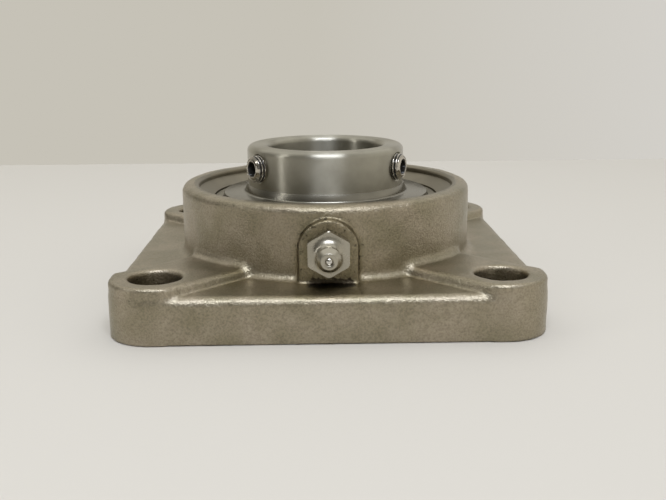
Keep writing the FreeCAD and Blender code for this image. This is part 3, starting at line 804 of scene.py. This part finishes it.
def cast_stainless():
    """Pickled stainless casting: olive to brown blotches, a fine grain, grime and painted shade in
    its holes and corners, and painted shade on the boss's front.
    """
    material, nodes, links = new_material("cast_stainless")
    shader = nodes["Principled BSDF"]
    place = nodes.new("ShaderNodeTexCoord")
    blotches = noise_texture(nodes, links, place, BLOTCHES)
    grain = noise_texture(nodes, links, place, GRAIN)
    tint = color_ramp(nodes, links, blotches.outputs["Fac"], 0.35, 0.66, CAST_OLIVE, CAST_BROWN)
    shades = color_ramp(nodes, links, grain.outputs["Fac"], 0.30, 0.60, *GRAIN_SHADES)
    tint = mix_colors(nodes, links, "MULTIPLY", 1.0, tint.outputs["Color"], shades.outputs["Color"])
    # Painted shade on the boss's front, darkest on the pad.
    tint = mix_colors(nodes, links, "MULTIPLY", painted(nodes, "front_shade"), tint, FRONT_SHADE)
    # Grime and painted shade: in the bolt holes, round the pad, and the grease smear under the
    # fitting.
    amount = grime_and_shade_amount(nodes, links, place, CAST_GRIME_AND_SHADE, 0.98, 1.12)
    tint = mix_colors(nodes, links, "MIX", amount, tint, GRIME_AND_SHADE)
    links.new(tint, shader.inputs["Base Color"])
    shine = map_range(nodes, links, blotches.outputs["Fac"], *NOISE_MIDDLE, *CAST_ROUGHNESS)
    links.new(shine.outputs["Result"], shader.inputs["Roughness"])
    shader.inputs["Metallic"].default_value = 1.0
    bump(nodes, links, shader, grain.outputs["Fac"], strength=0.9, distance=0.0002)
    return material


def steel(name, anisotropy=0.0, shaded_hollows=False):
    """Machined or polished steel: faint stains in its colour and shine over fine tool marks."""
    color, roughness = STEELS[name]
    material, nodes, links = new_material(name)
    shader = nodes["Principled BSDF"]
    place = nodes.new("ShaderNodeTexCoord")
    stains = noise_texture(nodes, links, place, STEEL_STAINS)
    dark, light = (tuple(c * shade for c in color) for shade in STEEL_SHADES)
    tint = color_ramp(nodes, links, stains.outputs["Fac"], 0.35, 0.65, dark, light).outputs["Color"]
    shader.inputs["Metallic"].default_value = 1.0
    # Painted shade in hollows: darker and less metallic where the painted value is high.
    if shaded_hollows:
        amount = grime_and_shade_amount(nodes, links, place, HOLLOW_SHADE_BREAKUP, 0.6, 0.9)
        tint = mix_colors(nodes, links, "MIX", amount, tint, HOLLOW_SHADE)
        unshaded = map_range(nodes, links, amount, 0.0, 1.0, 1.0, 0.0)
        links.new(unshaded.outputs["Result"], shader.inputs["Metallic"])
    links.new(tint, shader.inputs["Base Color"])
    rough = [roughness * factor for factor in STEEL_SHINE]
    shine = map_range(nodes, links, stains.outputs["Fac"], *NOISE_MIDDLE, *rough)
    links.new(shine.outputs["Result"], shader.inputs["Roughness"])
    marks = noise_texture(nodes, links, place, TOOL_MARKS)
    bump(nodes, links, shader, marks.outputs["Fac"], strength=0.06, distance=0.0001)
    if anisotropy:
        shader.inputs["Anisotropic"].default_value = anisotropy
        shader.inputs["Anisotropic Rotation"].default_value = 0.25
        tangent = nodes.new("ShaderNodeTangent")
        tangent.direction_type = "RADIAL"
        tangent.axis = "Z"
        links.new(tangent.outputs["Tangent"], shader.inputs["Tangent"])
    return material


def rubber():
    """Matt black rubber with a faint bloom."""
    material, nodes, links = new_material("seal_rubber")
    shader = nodes["Principled BSDF"]
    place = nodes.new("ShaderNodeTexCoord")
    bloom = noise_texture(nodes, links, place, RUBBER_BLOOM)
    tint = color_ramp(nodes, links, bloom.outputs["Fac"], 0.35, 0.7, RUBBER_DARK, RUBBER_LIGHT)
    links.new(tint.outputs["Color"], shader.inputs["Base Color"])
    shine = map_range(nodes, links, bloom.outputs["Fac"], *NOISE_MIDDLE, *RUBBER_ROUGHNESS)
    links.new(shine.outputs["Result"], shader.inputs["Roughness"])
    bump(nodes, links, shader, bloom.outputs["Fac"], strength=0.15, distance=0.0001)
    return material


def give(nodes, material):
    """Put a material on solids that are shown as they are."""
    for name in nodes:
        slots = frame["nodes"][name].data.materials
        slots.clear()
        slots.append(material)


# --- stage --------------------------------------------------------------------------------
def floor():
    """A sheet of paper that ends behind the object, where the wall is seen."""
    corners = [(-FLOOR_SIDE, FLOOR_NEAR, 0), (FLOOR_SIDE, FLOOR_NEAR, 0)]
    corners += [(FLOOR_SIDE, FLOOR_FAR, 0), (-FLOOR_SIDE, FLOOR_FAR, 0)]
    piece = new_piece("floor", corners, [(0, 1, 2, 3)])
    material, nodes, _ = new_material("floor_paper")
    shader = nodes["Principled BSDF"]
    shader.inputs["Base Color"].default_value = (*FLOOR_COLOR, 1)
    shader.inputs["Roughness"].default_value = FLOOR_ROUGHNESS
    shader.inputs["Specular IOR Level"].default_value = FLOOR_SPECULAR
    piece.data.materials.append(material)


def world():
    """A pale wall behind the object, a dimmer room in front of it and a soft ceiling."""
    made = bpy.data.worlds.new("studio")
    made.use_nodes = True
    nodes, links = made.node_tree.nodes, made.node_tree.links
    place = nodes.new("ShaderNodeTexCoord")
    parts = nodes.new("ShaderNodeSeparateXYZ")
    links.new(place.outputs["Generated"], parts.inputs["Vector"])
    wall = color_ramp(nodes, links, parts.outputs["X"], 0.0, 0.4, WALL_LEFT, WALL_RIGHT)
    across = map_range(nodes, links, parts.outputs["X"], -0.9, 1.0)
    front = color_ramp(nodes, links, across.outputs["Result"], 0.25, 1.0, ROOM_LEFT, ROOM_RIGHT)
    behind = map_range(nodes, links, parts.outputs["Y"], 0.2, 0.75).outputs["Result"]
    room = mix_colors(nodes, links, "MIX", behind, front.outputs["Color"], wall.outputs["Color"])
    above = map_range(nodes, links, parts.outputs["Z"], 0.3, 0.8).outputs["Result"]
    sky = mix_colors(nodes, links, "MIX", above, room, CEILING_COLOR)
    links.new(sky, nodes["Background"].inputs["Color"])
    bpy.context.scene.world = made


def area_light(name, place, target, size, power, color=(1, 1, 1)):
    """A light the camera can't see, at a place in metres, with its power in watts."""
    data = bpy.data.lights.new(name, "AREA")
    data.shape = "RECTANGLE"
    data.size, data.size_y = size
    data.energy = power
    data.color = color
    light = bpy.data.objects.new(name, data)
    bpy.context.scene.collection.objects.link(light)
    light.location = place
    light.rotation_euler = (Vector(target) - Vector(place)).to_track_quat("-Z", "Y").to_euler()
    light.visible_camera = False


def camera():
    """The photo's point of view. Yaw is towards +X, and pitch is downwards."""
    data = bpy.data.cameras.new("camera")
    data.sensor_width = CAMERA_SENSOR
    data.lens = CAMERA_LENS
    data.clip_start = CAMERA_NEAREST
    made = bpy.data.objects.new("camera", data)
    bpy.context.scene.collection.objects.link(made)
    yaw, pitch, roll = (math.radians(a) for a in (CAMERA_YAW, CAMERA_PITCH, CAMERA_ROLL))
    level_part, down = math.cos(pitch), math.sin(pitch)
    forward = Vector((math.sin(yaw) * level_part, math.cos(yaw) * level_part, -down))
    level = Vector((math.cos(yaw), -math.sin(yaw), 0))
    upright = level.cross(forward)
    right = level * math.cos(roll) + upright * math.sin(roll)
    up = upright * math.cos(roll) - level * math.sin(roll)
    turn = Matrix((right, up, -forward)).transposed().to_4x4()
    made.matrix_world = Matrix.Translation(Vector(CAMERA_PLACE) * MM) @ turn
    bpy.context.scene.camera = made


# --- everything ---------------------------------------------------------------------------
bpy.context.scene.view_settings.view_transform = "Standard"
world()
floor()
camera()
area_light("ceiling", place=(0.05, -0.8, 1.15), target=(0, 0, 0.02), size=(0.8, 0.55),
           power=11.5, color=(0.92, 0.98, 1.13))
area_light("rear_fill", place=(0, 0.5, 1.3), target=(0, 0.1, 0), size=(3.0, 1.8), power=9.0)
area_light("left_window", place=(-0.55, -0.24, 0.25), target=(0, 0, 0.03), size=(0.05, 0.5),
           power=0.35)

housing()
give(["inner_ring", "outer_ring"], steel("ground_steel", anisotropy=0.9))
polished = steel("polished_steel")
give(["rear_slinger"], polished)
front_slinger(polished)
give(["grease_fitting_check_ball"] + ["ball_%d" % (k + 1) for k in range(9)],
     steel("bright_steel"))
give(["front_seal_core", "rear_seal_core", "cage_front_half", "cage_rear_half", "cage_rivets"],
     steel("pressed_steel"))
spring_steel = steel("spring_steel")
give(["locking_pin"], spring_steel)
fitting_spring(spring_steel)
give(["front_seal_lip", "rear_seal_lip"], rubber())
grease_fitting()
# Steel for the screws, with painted shade in the socket and thread.
screw_steel = steel("screw_steel", shaded_hollows=True)
set_screw("left", screw_steel)
set_screw("right", screw_steel)
